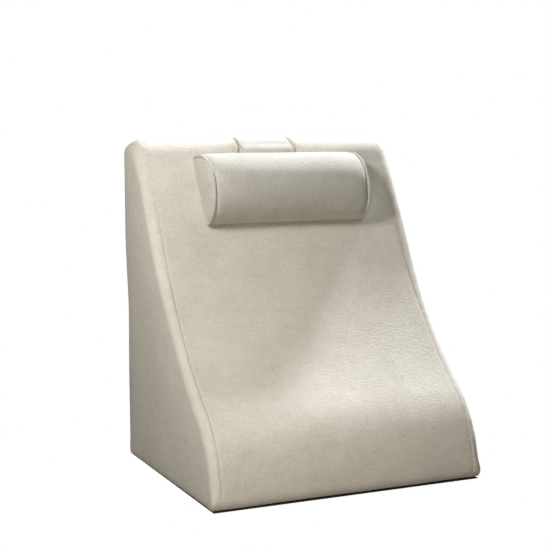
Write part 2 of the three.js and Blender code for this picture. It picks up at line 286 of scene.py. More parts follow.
def back_height(z):
    """Length along the profile of the height z on the upright back."""
    return wedge.marks["back"] + wedge.at(wedge.marks["back"])[0][1] - z


# ---- meshes ------------------------------------------------------------------------------------------

def new_piece(name, verts, faces, material, smooth=True):
    mesh = bpy.data.meshes.new(name)
    mesh.from_pydata([tuple(v) for v in verts], [], faces)
    mesh.materials.append(material)
    welded = bmesh.new()
    welded.from_mesh(mesh)
    bmesh.ops.remove_doubles(welded, verts=welded.verts, dist=1e-6)
    bmesh.ops.recalc_face_normals(welded, faces=welded.faces)
    welded.to_mesh(mesh)
    welded.free()
    mesh.polygons.foreach_set("use_smooth", [smooth] * len(mesh.polygons))
    if smooth:
        mesh.set_sharp_from_angle(angle=CUT_EDGE_ANGLE)
    piece = bpy.data.objects.new(name, mesh)
    bpy.context.scene.collection.objects.link(piece)
    return piece


def grid_faces(rows, cols, wrap_rows=False, first=0):
    faces = []
    for i in range(rows if wrap_rows else rows - 1):
        for j in range(cols - 1):
            a, b = first + i * cols + j, first + ((i + 1) % rows) * cols + j
            faces.append((a, a + 1, b + 1, b))
    return faces


def rim_faces(ring, offset):
    """Quads between a row of points and the same row, offset further on in the list."""
    return [(a, b, b + offset, a + offset) for a, b in zip(ring[:-1], ring[1:])]


def grid_normals(grid, wrap_rows, outward):
    """Unit normals of a grid of points, on the side where outward points."""
    if wrap_rows:
        padded = np.concatenate([grid[-1:], grid, grid[:1]])
        down = (padded[2:] - padded[:-2]) / 2
    else:
        down = np.gradient(grid, axis=0)
    normals = np.cross(np.gradient(grid, axis=1), down)
    size = np.linalg.norm(normals, axis=-1, keepdims=True)
    normals = normals / np.maximum(size, 1e-12)
    weak = size[..., 0] < 1e-12
    if (normals * outward).sum() < 0:
        normals = -normals
    if weak.any():
        normals[weak] = normals[~weak].mean(axis=0)
    return normals


def sheet_between(name, outer, inner, material, wrap_rows=False):
    """A closed piece between two grids of points."""
    rows, cols = outer.shape[:2]
    count = rows * cols
    verts = np.concatenate([outer.reshape(-1, 3), inner.reshape(-1, 3)])
    faces = grid_faces(rows, cols, wrap_rows) + grid_faces(rows, cols, wrap_rows, count)
    index = np.arange(count).reshape(rows, cols)
    for j in (0, cols - 1):
        column = list(index[:, j])
        faces += rim_faces(column + column[:1] if wrap_rows else column, count)
    if not wrap_rows:
        for i in (0, rows - 1):
            faces += rim_faces(list(index[i]), count)
    return new_piece(name, verts, faces, material)


def shell(name, grid, material, outward, wrap_rows=False, thickness=CLOTH):
    """Cloth with grid as its outer surface. outward is a rough outward direction."""
    normals = grid_normals(grid, wrap_rows, outward)
    return sheet_between(name, grid, grid - normals * thickness, material, wrap_rows)


def spacing(length, step, ease=(0.0, 0.0008, 0.0017, 0.0027, 0.004, 0.006, 0.0085, 0.012)):
    """Places from 0 to length about step apart, close together at both ends where the seams are."""
    inner = np.linspace(ease[-1], length - ease[-1], max(2, round((length - 2 * ease[-1]) / step)))
    ends = np.array(ease[:-1])
    return np.concatenate([ends, inner, length - ends[::-1]])


def wavy(points, size, offset=0.0):
    """Smooth noise from -1 to 1 at each point, with bumps about size metres wide."""
    shift = Vector((offset, 7.3, 1.9))
    values = [noise.noise(Vector(p) / size + shift) for p in points.reshape(-1, 3)]
    return np.array(values).reshape(points.shape[:-1])


def resampled(grid, at, axis=0):
    """Catmull-Rom interpolation of a grid of points at fractional indices along one axis."""
    grid = np.moveaxis(grid, axis, 0)
    last = len(grid) - 1
    first = np.clip(np.floor(at).astype(int), 0, last - 1)
    t = (at - first).reshape(-1, *[1] * (grid.ndim - 1))
    a, b, c, d = (grid[np.clip(first + k, 0, last)] for k in (-1, 0, 1, 2))
    cubic = 3 * b - a - 3 * c + d
    square = 2 * a - 5 * b + 4 * c - d
    return np.moveaxis(b + 0.5 * t * (c - a + t * (square + t * cubic)), 0, axis)


def along_path(path, s):
    """Points of a polyline at lengths s."""
    steps = np.linalg.norm(np.diff(path, axis=0), axis=1)
    return resampled(path, np.interp(s, np.concatenate([[0], np.cumsum(steps)]), np.arange(len(path))))


def path_length(path):
    return float(np.linalg.norm(np.diff(path, axis=0), axis=1).sum())


def tube_rings(path, across, radius, sides, closed=False):
    """Rings of points round a path. across is a direction that the path never runs along."""
    if closed:
        ahead = np.roll(path, -1, axis=0) - np.roll(path, 1, axis=0)
    else:
        ahead = np.gradient(path, axis=0)
    ahead /= np.linalg.norm(ahead, axis=1, keepdims=True)
    side = across - ahead * (ahead * across).sum(axis=1, keepdims=True)
    side /= np.linalg.norm(side, axis=1, keepdims=True)
    lift = np.cross(ahead, side)
    angle = np.arange(sides) / sides * 2 * math.pi
    radius = np.broadcast_to(radius, (len(path),))[:, None, None]
    ring = side[:, None] * np.cos(angle)[:, None] + lift[:, None] * np.sin(angle)[:, None]
    return path[:, None] + ring * radius


def tube(name, path, across, radius, material, sides=10, closed=False):
    rings = tube_rings(path, across, radius, sides, closed)
    around = np.concatenate([rings, rings[:, :1]], axis=1)
    rows, cols = around.shape[:2]
    faces = grid_faces(rows, cols, closed)
    if not closed:
        faces += [tuple(range(sides)), tuple(range((rows - 1) * cols, (rows - 1) * cols + sides))]
    return new_piece(name, around.reshape(-1, 3), faces, material)


def stitches(name, rows, across, material, pitch=4.5 * MM, radius=0.4 * MM):
    """Rows of raised stitches, each along a path that lies on the cloth."""
    verts, faces = [], []
    sides = 6
    for path in rows:
        total = path_length(path)
        for k in range(int(total / pitch)):
            start = (k + 0.15) * pitch
            line = along_path(path, start + np.array((0, 0.12, 0.5, 0.88, 1)) * 0.7 * pitch)
            size = radius * np.array((0.25, 0.9, 1, 0.9, 0.25))
            rings = tube_rings(line, across, size, sides)
            first = len(verts)
            verts.extend(rings.reshape(-1, 3))
            for i in range(len(line) - 1):
                a = first + i * sides
                faces += [(a + j, a + (j + 1) % sides, a + sides + (j + 1) % sides, a + sides + j)
                          for j in range(sides)]
            last = first + (len(line) - 1) * sides
            faces += [tuple(range(first, first + sides)), tuple(range(last, last + sides))]
    return new_piece(name, verts, faces, material)


def prism(outline, low, high, place):
    """Points and faces of an outline in the XZ plane, swept along Y from low to high."""
    count = len(outline)
    verts = [place @ Vector((x, y, z)) for y in (low, high) for x, z in outline]
    faces = [tuple(range(count)), tuple(range(count, 2 * count))]
    faces += [(i, (i + 1) % count, count + (i + 1) % count, count + i) for i in range(count)]
    return verts, faces


def joined(name, parts, material, bevel=0.0, smooth=False):
    """One piece from several lists of points and faces, with its edges rounded."""
    verts, faces = [], []
    for points, polygons in parts:
        faces += [tuple(i + len(verts) for i in face) for face in polygons]
        verts += points
    piece = new_piece(name, verts, faces, material, smooth)
    if bevel:
        rounding(piece, bevel)
    return piece


def rounding(piece, width, segments=2):
    bevel = piece.modifiers.new("rounding", "BEVEL")
    bevel.width = width
    bevel.segments = segments
    bevel.limit_method = "ANGLE"
    bevel.angle_limit = math.radians(40)


def ease(s, places, values):
    """Values at places, joined by smooth steps."""
    index = np.clip(np.searchsorted(places, s, side="right") - 1, 0, len(places) - 2)
    low, high = np.array(places)[index], np.array(places)[index + 1]
    t = np.clip((s - low) / (high - low), 0, 1)
    t = t * t * (3 - 2 * t)
    return np.array(values)[index] * (1 - t) + np.array(values)[index + 1] * t


# ---- materials ---------------------------------------------------------------------------------------

def node(tree, kind, inputs=(), **settings):
    made = tree.nodes.new(kind)
    for key, value in settings.items():
        setattr(made, key, value)
    for key, value in dict(inputs).items():
        if isinstance(value, bpy.types.NodeSocket):
            tree.links.new(value, made.inputs[key])
        else:
            made.inputs[key].default_value = value
    return made


def new_material(name):
    mat = bpy.data.materials.new(name)
    mat.use_nodes = True
    return mat, mat.node_tree.nodes["Principled BSDF"], mat.node_tree


def stretched(tree, coords, scale):
    return node(tree, "ShaderNodeMapping", {"Vector": coords, "Scale": scale}).outputs[0]


def scaled(tree, value, factor, base=0.0):
    return node(tree, "ShaderNodeMath", {0: value, 1: factor, 2: base}, operation="MULTIPLY_ADD").outputs[0]


def total(tree, first, *others):
    for other in others:
        first = node(tree, "ShaderNodeMath", {0: first, 1: other}, operation="ADD").outputs[0]
    return first


def noisy(tree, coords, scale, detail=2.0):
    scale, coords = (1.0, stretched(tree, coords, scale)) if isinstance(scale, tuple) else (scale, coords)
    return node(tree, "ShaderNodeTexNoise", {"Vector": coords, "Scale": scale, "Detail": detail}).outputs[0]


def coloured(tree, shader, tone, *stops):
    """Base colour from a ramp: stops are (position, colour)."""
    ramp = node(tree, "ShaderNodeValToRGB", {"Fac": tone})
    while len(ramp.color_ramp.elements) < len(stops):
        ramp.color_ramp.elements.new(0.5)
    for element, (position, colour) in zip(ramp.color_ramp.elements, stops):
        element.position = position
        element.color = (*colour, 1)
    tree.links.new(ramp.outputs[0], shader.inputs["Base Color"])


def bumped(tree, shader, height, strength, distance):
    bump = node(tree, "ShaderNodeBump", {"Height": height, "Strength": strength, "Distance": distance})
    tree.links.new(bump.outputs[0], shader.inputs["Normal"])


def rough(tree, shader, value, low, high):
    tree.links.new(scaled(tree, value, high - low, low), shader.inputs["Roughness"])


def velour(name, dark, light, sheen=0.2):
    """Short looped pile: broad nap shading, faint courses, and the loops themselves."""
    mat, shader, tree = new_material(name)
    coords = node(tree, "ShaderNodeTexCoord").outputs["Object"]
    nap = noisy(tree, coords, 9.0, 4.0)
    patches = noisy(tree, coords, 42.0, 3.0)
    courses = noisy(tree, coords, (90, 260, 420))
    tufts = noisy(tree, coords, 230.0, 2.0)
    loops = node(tree, "ShaderNodeTexVoronoi", {"Vector": coords, "Scale": 560.0}).outputs["Distance"]
    pile = noisy(tree, coords, 1500.0, 1.0)
    tone = total(tree, scaled(tree, nap, 0.55, 0.22), scaled(tree, patches, 0.4, -0.2),
                 scaled(tree, courses, 0.4, -0.2), scaled(tree, tufts, 0.7, -0.35),
                 scaled(tree, loops, -0.35, 0.13))
    middle = tuple((a + b) / 2 for a, b in zip(dark, light))
    coloured(tree, shader, tone, (0.1, dark), (0.5, middle), (0.9, light))
    relief = total(tree, scaled(tree, pile, 0.7), loops, scaled(tree, courses, 1.5),
                   scaled(tree, tufts, 0.8))
    bumped(tree, shader, relief, 0.6, 1.0 * MM)
    rough(tree, shader, nap, 0.88, 1.0)
    shader.inputs["Specular IOR Level"].default_value = 0.12
    shader.inputs["Sheen Weight"].default_value = sheen
    shader.inputs["Sheen Roughness"].default_value = 0.45
    shader.inputs["Sheen Tint"].default_value = (1.0, 0.97, 0.92, 1)
    return mat


def foam(name, dark, light, cells):
    """Open-cell foam: small round pores in a slightly mottled block."""
    mat, shader, tree = new_material(name)
    coords = node(tree, "ShaderNodeTexCoord").outputs["Object"]
    pores = node(tree, "ShaderNodeTexVoronoi", {"Vector": coords, "Scale": cells}).outputs["Distance"]
    mottle = noisy(tree, coords, 16.0, 3.0)
    coloured(tree, shader, total(tree, scaled(tree, pores, 0.9), scaled(tree, mottle, 0.4, -0.1)),
             (0.1, dark), (0.6, light))
    bumped(tree, shader, pores, 0.7, 0.8 * MM)
    rough(tree, shader, mottle, 0.85, 1.0)
    shader.inputs["Specular IOR Level"].default_value = 0.1
    return mat


def woven(name, dark, light, across, up, roughness=(0.7, 0.9), sheen=0.1):
    """Plain weave with that many warp and weft threads a metre, over X and over Z or Y."""
    mat, shader, tree = new_material(name)
    coords = node(tree, "ShaderNodeTexCoord").outputs["Object"]
    split = node(tree, "ShaderNodeSeparateXYZ", {0: coords})
    depth = total(tree, split.outputs["Z"], split.outputs["Y"])
    threads = []
    for value, count in ((split.outputs["X"], across), (depth, up)):
        turn = scaled(tree, value, 2 * math.pi * count)
        threads.append(node(tree, "ShaderNodeMath", {0: turn}, operation="SINE").outputs[0])
    weave = node(tree, "ShaderNodeMath", {0: threads[0], 1: threads[1]}, operation="MULTIPLY").outputs[0]
    slub = noisy(tree, coords, 90.0, 3.0)
    coloured(tree, shader, total(tree, scaled(tree, weave, 0.3, 0.35), scaled(tree, slub, 0.5, -0.15)),
             (0.1, dark), (0.8, light))
    bumped(tree, shader, total(tree, weave, slub), 0.6, 0.3 * MM)
    rough(tree, shader, slub, *roughness)
    shader.inputs["Specular IOR Level"].default_value = 0.25
    shader.inputs["Sheen Weight"].default_value = sheen
    return mat


def dotted(name, dark, light, density, relief):
    """Hook or loop tape: a dense field of little hooks or fuzzy loops on a woven ground."""
    mat, shader, tree = new_material(name)
    coords = node(tree, "ShaderNodeTexCoord").outputs["Object"]
    spots = node(tree, "ShaderNodeTexVoronoi", {"Vector": coords, "Scale": density}).outputs["Distance"]
    fuzz = noisy(tree, coords, 400.0, 4.0)
    coloured(tree, shader, total(tree, scaled(tree, spots, -0.6, 0.5), scaled(tree, fuzz, 0.6, -0.1)),
             (0.15, dark), (0.75, light))
    bumped(tree, shader, total(tree, scaled(tree, spots, -1.0), fuzz), 0.8, relief)
    rough(tree, shader, fuzz, 0.6, 0.9)
    return mat


def glossy(name, dark, light, metallic, low, high, streaks, bump=0.1):
    """Metal or nylon with fine rubbing streaks."""
    mat, shader, tree = new_material(name)
    coords = node(tree, "ShaderNodeTexCoord").outputs["Object"]
    rub = noisy(tree, coords, streaks, 3.0)
    coloured(tree, shader, rub, (0.3, dark), (0.7, light))
    rough(tree, shader, rub, low, high)
    bumped(tree, shader, rub, bump, 0.1 * MM)
    shader.inputs["Metallic"].default_value = metallic
    return mat


VELOUR = velour("velour", (0.63, 0.585, 0.50), (0.86, 0.82, 0.75))
BOLSTER_VELOUR = velour("bolster_velour", (0.52, 0.50, 0.44), (0.72, 0.71, 0.66))
# warm tan for the bolster's hem edge: painted warm bounce light under the bolster
PAINTED_BOUNCE_VELOUR = velour("painted_bounce_velour", (0.55, 0.45, 0.32), (0.78, 0.68, 0.53))
STRAP_VELOUR = velour("strap_velour", (0.59, 0.545, 0.49), (0.79, 0.745, 0.69))
FIRM_FOAM = foam("firm_foam", (0.45, 0.40, 0.28), (0.72, 0.66, 0.50), 420)
SOFT_FOAM = foam("soft_foam", (0.62, 0.60, 0.50), (0.88, 0.86, 0.78), 560)
# near-black grip cloth; its edge under the rolled foot also serves as painted contact shadow
GRIP = woven("grip_cloth", (0.02, 0.019, 0.017), (0.065, 0.06, 0.055), 600, 600)
RUBBER = glossy("grip_rubber", (0.03, 0.03, 0.03), (0.06, 0.06, 0.058), 0, 0.55, 0.75, 300.0)
TAPE = woven("zip_tape", (0.52, 0.47, 0.38), (0.78, 0.73, 0.64), 1400, 900)
NYLON = glossy("zip_coil", (0.62, 0.57, 0.48), (0.80, 0.76, 0.68), 0, 0.3, 0.5, 260.0)
METAL = glossy("zip_metal", (0.50, 0.50, 0.51), (0.68, 0.68, 0.69), 1, 0.22, 0.42, (900, 160, 900))
HOOKS = dotted("hook_tape", (0.45, 0.41, 0.34), (0.75, 0.71, 0.63), 620, 1.2 * MM)
LOOPS = dotted("loop_tape", (0.60, 0.56, 0.48), (0.86, 0.83, 0.76), 420, 0.9 * MM)
THREAD = woven("sewing_thread", (0.62, 0.56, 0.46), (0.85, 0.80, 0.71), 2500, 2500, (0.55, 0.75))


def finish_piece(piece, body, slot, *replaced, fill=None):
    """Puts a piece on its body and hides the CAD nodes it stands for; its material slot is not used."""
    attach(piece, body)
    if replaced:
        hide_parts(*replaced)
    return piece


# ---- wedge cover -------------------------------------------------------------------------------------

def seam_dip(distance, allowance=1.0, depth=1.0, width=1.6 * MM):
    """Height of the cloth near a seam: a narrow valley, and a low ridge where the allowance lies."""
    valley = -0.6 * MM * np.exp(-(distance / width) ** 2)
    ridge = 0.5 * MM * np.exp(-((distance - 8 * MM) / (4 * MM)) ** 2)
    return depth * valley + allowance * ridge


def edge_radius(s):
    """Radius of the rounded side edges: tight at the floor and the back, wide at the ridge's ends."""
    m = wedge.marks
    foot = CORNER - 1 * MM
    places = (0, m["nose"], m["nose"] + 0.05, m["ridge"] - 0.08, m["ridge"] + 0.02,
              m["crest"], m["back"], m["back_foot"] - 0.04, m["back_foot"], wedge.length)
    radii = (foot, foot, EDGE, EDGE, RIDGE_EDGE, RIDGE_EDGE, BACK_EDGE, BACK_EDGE, foot, foot)
    return ease(s, places, radii)


def tucked(grid):
    """Rolls the lower edge of everything in the wedge under, most at the front."""
    low = np.clip(FOOT_ROLL - grid[..., 2], 0, FOOT_ROLL)
    tuck = FOOT_ROLL - np.sqrt(FOOT_ROLL ** 2 - low ** 2)
    y = grid[..., 1]
    inward = tuck * ease(y, (FRONT, BACK), ROLL_SIDE_SHARE) / HALF
    return np.stack([grid[..., 0] * (1 - inward),
                     y + tuck * ease(y, (FRONT + 0.05, FRONT + 0.15), (1, 0)), grid[..., 2]], axis=-1)


def belt_points(s, x, inset=0.0):
    """Points of the wedge round its profile at lengths s and places x, and their outward normals.
    The surface drops away over the rounded side edges."""
    place, normal = wedge.at(s)
    radius = edge_radius(s)[:, None]
    reach = np.clip(radius - (HALF - np.abs(x))[None, :], 0, radius)
    drop = radius - np.sqrt(radius ** 2 - reach ** 2) + inset
    grid = np.zeros((len(s), len(x), 3))
    out = np.zeros_like(grid)
    grid[..., 0] = x[None, :]
    grid[..., 1:] = place[:, None] - normal[:, None] * drop[..., None]
    out[..., 1:] = normal[:, None]
    return tucked(grid), out


def pressed(s):
    """How much the strap presses into the wedge, from 0 on the face to 1 over the ridge."""
    m = wedge.marks
    return ease(s, (0, m["ridge"] + 4 * MM, m["ridge"] + 22 * MM, m["back"] - 10 * MM,
                    m["back"] + 25 * MM, wedge.length), (0, 0, 1, 1, 0, 0))


def creased(s):
    """How deep the cover is creased along the strap's edges, from the bolster to the back."""
    m = wedge.marks
    bolster = m["ridge"] - BOLSTER_DROP
    return ease(s, (0, bolster - 5 * MM, bolster + 10 * MM, m["back"] - 10 * MM,
                    m["back"] + 25 * MM, wedge.length), (0, 0, 1, 1, 0, 0))


def softness(grid, s):
    """Slack of the fitted cover: held down where the bolster and the strap slide on it, creased
    along the strap's edges and swelling up beside them."""
    broad = 1.3 * MM * wavy(grid, 0.17) + 0.6 * MM * wavy(grid, 0.055, 3.0)
    m = wedge.marks
    held = ((s > m["flat"] - 0.06) & (s < m["back_foot"]))[:, None]
    past_strap = np.abs(grid[..., 0]) - STRAP_HALF
    past = np.maximum(past_strap, 0)
    under = -STRAP_PRESS * (past_strap < 0)
    beside = 5.5 * MM * (1 - np.exp(-past / (2.5 * MM))) * np.exp(-past / (16 * MM))
    crease = -CREASE * np.exp(-((past_strap - 2.5 * MM) / (3.5 * MM)) ** 2)
    strapped = (under + beside) * pressed(s)[:, None] + crease * creased(s)[:, None]
    return np.where(held, broad * 0.3 - 0.7 * MM, broad) + strapped


def belt_panel(name, start, end, slot, replaced):
    s = start + spacing(end - start, 8 * MM)
    x = spacing(2 * (HALF - SEAM_IN), 10 * MM) - (HALF - SEAM_IN)
    strap_edge = STRAP_HALF + np.arange(-9, 21, 1.5) * MM
    x = np.unique(np.concatenate([x, strap_edge, -strap_edge]))
    grid, out = belt_points(s, x)
    to_side = (HALF - SEAM_IN - np.abs(x))[None, :]
    to_end = np.minimum(s - start, end - s)[:, None]
    pucker = 0.5 * MM * np.exp(-to_side / 0.02) * wavy(grid, 0.015, 9.0)
    lift = seam_dip(to_side, 0.4) + seam_dip(to_end, 0.4) + pucker + softness(grid, s)
    piece = shell(name, grid + out * lift[..., None], VELOUR, out)
    return finish_piece(piece, "backrest", slot, replaced, fill=0.95)


def side_crown(grid):
    """How far the side panel bulges: nothing along its edges, most in its middle."""
    face_s = np.linspace(0, wedge.marks["crest"], 240)
    face = wedge.at(face_s)[0]
    flat = grid[..., 1:].reshape(-1, 2)
    to_face = np.sqrt(((flat[:, None] - face[None]) ** 2).sum(axis=-1)).min(axis=1)
    to_face = to_face.reshape(grid.shape[:-1])
    crown = SIDE_CROWN * np.ones(grid.shape[:-1])
    for distance, rise in ((to_face - EDGE, 0.06), (BACK - grid[..., 1] - BACK_EDGE, 0.018),
                           (grid[..., 2] - CORNER, 0.09), (HEIGHT + 5 * MM - grid[..., 2], 0.03)):
        crown *= 1 - np.exp(-np.maximum(distance, 0) / rise)
    return crown


def side_panel(name, sign, replaced):
    """A side panel with the rounded edge that it wraps all round, crowned by the foam behind it."""
    s = np.linspace(0, wedge.length, round(wedge.length / (7 * MM)), endpoint=False)
    place, normal = wedge.at(s)
    radius = edge_radius(s)
    seam_angle = np.arcsin(np.clip((radius - SEAM_IN) / radius, 0, 1))
    straight = np.clip(SEAM_IN - radius, 0, None)
    total_run = straight + radius * (QUARTER - seam_angle)
    columns = []
    edge_parts = (0, 0.03, 0.06, 0.1, 0.15, 0.21, 0.29, 0.38, 0.48, 0.58, 0.68, 0.78, 0.88, 0.96)
    for part in edge_parts:
        run = total_run * part
        angle = np.clip(seam_angle + np.clip(run - straight, 0, None) / radius, 0, QUARTER)
        out_x = HALF - radius * (1 - np.sin(angle)) - np.clip(straight - run, 0, None)
        drop = radius * (1 - np.cos(angle))
        pucker = 0.5 * MM * np.exp(-run / 0.015) * np.sin(s / 0.0045 + 2 * np.sin(s / 0.03))
        lift = seam_dip(run, 0.5) + pucker
        y_z = place - normal * (drop - lift * np.cos(angle))[:, None]
        columns.append(np.column_stack([out_x + lift * np.sin(angle), y_z]))
    rim = place - normal * radius[:, None]
    centre = np.array((0.10, 0.235))
    for share in np.concatenate([np.linspace(1, 0.9, 5), np.linspace(0.86, 0.0, 26)]):
        columns.append(np.column_stack([np.full(len(s), HALF), centre + (rim - centre) * share]))
    grid = np.stack(columns, axis=1)
    inside = np.clip((grid[..., 2] - 0.02) / 0.1, 0, 1)
    grid[..., 0] += side_crown(grid) + 1.2 * MM * wavy(grid, 0.17, 5.0) * inside
    past_edge = ease(np.arange(grid.shape[1]), (0, len(edge_parts) - 1), (0, 1))
    grid[..., 0] += SIDE_SWELL * ease(grid[..., 2], (0.3, 0.52), (0, 1)) * past_edge
    grid = tucked(grid)
    grid[..., 0] *= sign
    piece = shell(name, grid, VELOUR, np.array((sign, 0, 0)), wrap_rows=True)
    return finish_piece(piece, "backrest", "velour", replaced, fill=0.95)


def grip_dots(low_x, high_x, low_y, high_y, top):
    """Rubber dots under the base, in staggered rows."""
    pitch, radius = 20 * MM, 2.5 * MM
    around = np.arange(8) / 8 * 2 * math.pi
    outline = [(radius * math.cos(a), radius * math.sin(a)) for a in around]
    parts = []
    for row, y in enumerate(np.arange(low_y + pitch, high_y - pitch / 2, pitch)):
        for x in np.arange(low_x + pitch * (1 + row % 2 / 2), high_x - pitch / 2, pitch):
            flat = Matrix.Translation((x, y, top)) @ Matrix.Rotation(QUARTER, 4, "X")
            parts.append(prism(outline, -top, 0, flat))
    return joined("grip_dots", parts, RUBBER)


def base_panel():
    """The dark grip fabric, whose edge shows as a dark line under the rolled foot; that line also stands in
    for the contact shadow there, so it is partly painted shade.
    """
    dot_height = 0.7 * MM
    span_x, low_y, high_y = HALF - 5 * MM, FRONT + 8 * MM, BACK - 3 * MM
    x = spacing(2 * span_x, 12 * MM) - span_x
    y = low_y + spacing(high_y - low_y, 12 * MM)
    grid = np.zeros((len(y), len(x), 3))
    grid[..., 0], grid[..., 1] = x[None, :], y[:, None]
    to_edge = np.minimum((span_x - np.abs(x))[None, :], np.minimum(y - low_y, high_y - y)[:, None])
    grid[..., 2] = dot_height + 0.6 * MM * np.exp(-(to_edge / (1.2 * MM)) ** 2)
    thickness = BASE_THICK - dot_height - 0.1 * MM
    piece = shell("base_panel", grid, GRIP, np.array((0, 0, -1)), thickness=thickness)
    finish_piece(piece, "backrest", "grip_cloth", "cover_base_panel")
    dots = grip_dots(-span_x, span_x, low_y, high_y, dot_height)
    finish_piece(dots, "backrest", "grip_cloth")


def comfort_foam():
    """The softer layer under the face, from the nose to the end of the flat."""
    m = wedge.marks
    s = np.linspace(m["nose"], m["ridge"] - 1 * MM, 120)
    x = spacing(2 * (HALF - 4 * MM), 40 * MM) - (HALF - 4 * MM)
    outer, _ = belt_points(s, x, inset=CLOTH + 2.5 * MM + CREASE * creased(s)[:, None])
    place, normal = wedge.at(s)
    inner = outer.copy()
    inner[..., 1:] = (place - normal * 42.5 * MM)[:, None]
    piece = sheet_between("comfort_foam", outer, inner, SOFT_FOAM)
    finish_piece(piece, "backrest", "soft_foam", "backrest_comfort_foam", fill=1.0)


def core_foam():
    """The firm block behind the comfort layer, with rounded edges and a channel for the zip."""
    m = wedge.marks
    face, face_out = wedge.at(np.linspace(m["nose"], m["ridge"], 80))
    face = face - face_out * 43.5 * MM
    rest_s = np.linspace(m["ridge"] + 4 * MM, m["back_foot"], 90)
    rest, rest_out = wedge.at(rest_s)
    channel = np.where(np.abs(rest[:, 1] - BACK_ZIP_HEIGHT) < 15 * MM, 8 * MM, 0)
    rest = rest - rest_out * (CLOTH + 2.5 * MM + channel + CREASE * creased(rest_s))[:, None]
    foot = np.array([(rest[-1, 0], 7 * MM), (face[0, 0], 7 * MM)])
    outline = np.concatenate([face, rest, foot])
    centre = np.array((0.11, 0.2))
    inward = centre - outline
    inward /= np.linalg.norm(inward, axis=1, keepdims=True)
    radius = np.concatenate([np.full(len(face), 20 * MM), edge_radius(rest_s) + 4 * MM, (14 * MM, 20 * MM)])
    span = HALF - 4 * MM
    half = [np.column_stack([np.full(len(outline), span), centre + (outline - centre) * share])
            for share in (0.0, 0.5)]
    for angle in np.linspace(QUARTER, 0, 6):
        points = outline + inward * (radius * (1 - math.cos(angle)))[:, None]
        half.append(np.column_stack([span - radius * (1 - math.sin(angle)), points]))
    mirrored = [column * (-1, 1, 1) for column in half[::-1]]
    grid = tucked(np.stack(half + mirrored, axis=1))
    faces = grid_faces(*grid.shape[:2], wrap_rows=True)
    piece = new_piece("core_foam", grid.reshape(-1, 3), faces, FIRM_FOAM)
    finish_piece(piece, "backrest", "firm_foam", "backrest_core_foam", fill=1.0)


def make_wedge():
    m = wedge.marks
    zip_s = back_height(BACK_ZIP_HEIGHT)
    belt_panel("front_panel", 10 * MM - CORNER, m["back"], "velour", "cover_front_panel")
    belt_panel("back_panel", m["back"], zip_s - ZIP_SLOT, "velour", "cover_back_panel")
    belt_panel("back_hem_strip", zip_s + ZIP_SLOT, m["base"], "velour", "cover_back_hem_strip")
    side_panel("side_panel_left", -1, "cover_side_left")
    side_panel("side_panel_right", 1, "cover_side_right")
    base_panel()
    comfort_foam()
    core_foam()
    flap = BACK_ZIP_HALF + 4 * MM
    rows = []
    for z in (BACK_ZIP_HEIGHT + ZIP_SLOT + 4 * MM, BACK_ZIP_HEIGHT - ZIP_SLOT - 4 * MM):
        x = np.linspace(-flap, flap, 200)
        rows.append(np.column_stack([x, np.full(200, BACK - 0.4 * MM), np.full(200, z)]))
    piece = stitches("back_zip_stitches", rows, np.array((0, 0, 1.0)), THREAD)
    finish_piece(piece, "backrest", "velour")


# ---- strap -------------------------------------------------------------------------------------------

def strap_columns():
    return spacing(2 * STRAP_HALF, 4 * MM) - STRAP_HALF


def strap_band(name, place, normal, press, slack=1.0):
    """A length of the double cloth band, hemmed along both edges, over a line of points.
    press is how much it sinks into the wedge at each of them."""
    x = strap_columns()
    place = place - normal * STRAP_PRESS * press[:, None]
    middle = np.zeros((len(place), len(x), 3))
    middle[..., 0] = x
    middle[..., 1:] = (place + normal * (STRAP_GAP + STRAP_THICK / 2))[:, None]
    out = np.zeros_like(middle)
    out[..., 1:] = normal[:, None]
    to_edge = STRAP_HALF - np.abs(x)
    round_edge = np.sqrt(np.clip(1 - (1 - np.clip(to_edge / (STRAP_THICK / 2), 0, 1)) ** 2, 0, 1))
    ripple = wavy(middle, 0.012, 4.0) * np.exp(-to_edge / 0.02) + 0.6 * wavy(middle, 0.03, 8.0)
    stitched = -0.8 * MM * np.exp(-((to_edge - 9 * MM) / (1.6 * MM)) ** 2)
    hem = 0.5 * MM * (to_edge < 9 * MM)
    lift = slack * (0.9 * MM * np.abs(ripple)) + stitched + hem
    middle[..., 0] += slack * 1.6 * MM * wavy(middle, 0.03, 12.0) * np.sign(x) * (to_edge < 30 * MM)
    tuck = 1.6 * MM * np.exp(-to_edge / (5 * MM)) * press[:, None]
    outer = middle + out * ((STRAP_THICK / 2 + lift) * round_edge - tuck)[..., None]
    inner = middle - out * (STRAP_THICK / 2 * round_edge + tuck)[..., None]
    return sheet_between(name, outer, inner, STRAP_VELOUR), outer, x


def strap_stitch_rows(outer, x):
    rows = []
    for edge in (-1, 1):
        j = int(np.argmin(np.abs(x - edge * (STRAP_HALF - 9 * MM))))
        rows.append(outer[:, j])
    return rows


def strap_length(name, start, end):
    """A length of the strap's front run, which stands a little off the wedge below the ridge."""
    ridge = wedge.marks["ridge"]
    s = np.linspace(start, end, 4 + round((end - start) / (0.8 * MM)))
    place, normal = wedge.at(s)
    bridging = ease(s, (ridge - BOLSTER_DROP, ridge, ridge + 24 * MM, ridge + STRAP_SPLIT),
                    (STRAP_BRIDGE, 1.1 * STRAP_BRIDGE, 0, 0))
    place = place + normal * bridging[:, None]
    piece, outer, x = strap_band(name, place, normal, pressed(s))
    rows = stitches(f"{name}_stitches", strap_stitch_rows(outer, x), np.array((1.0, 0, 0)), THREAD)
    return piece, rows


def strap_front():
    """From just above the bolster to the ridge."""
    ridge = wedge.marks["ridge"]
    piece, rows = strap_length("strap_front", ridge - BOLSTER_DROP + STRAP_BEND, ridge + STRAP_SPLIT)
    fixed = (0, *wedge.at(ridge + STRAP_FREE)[0])
    moving = tuple(on_face(0.0, STRAP_BEND, 0.0))
    for part in (piece, rows):
        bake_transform(part)
    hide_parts("strap_front_section", "strap_end_tab")


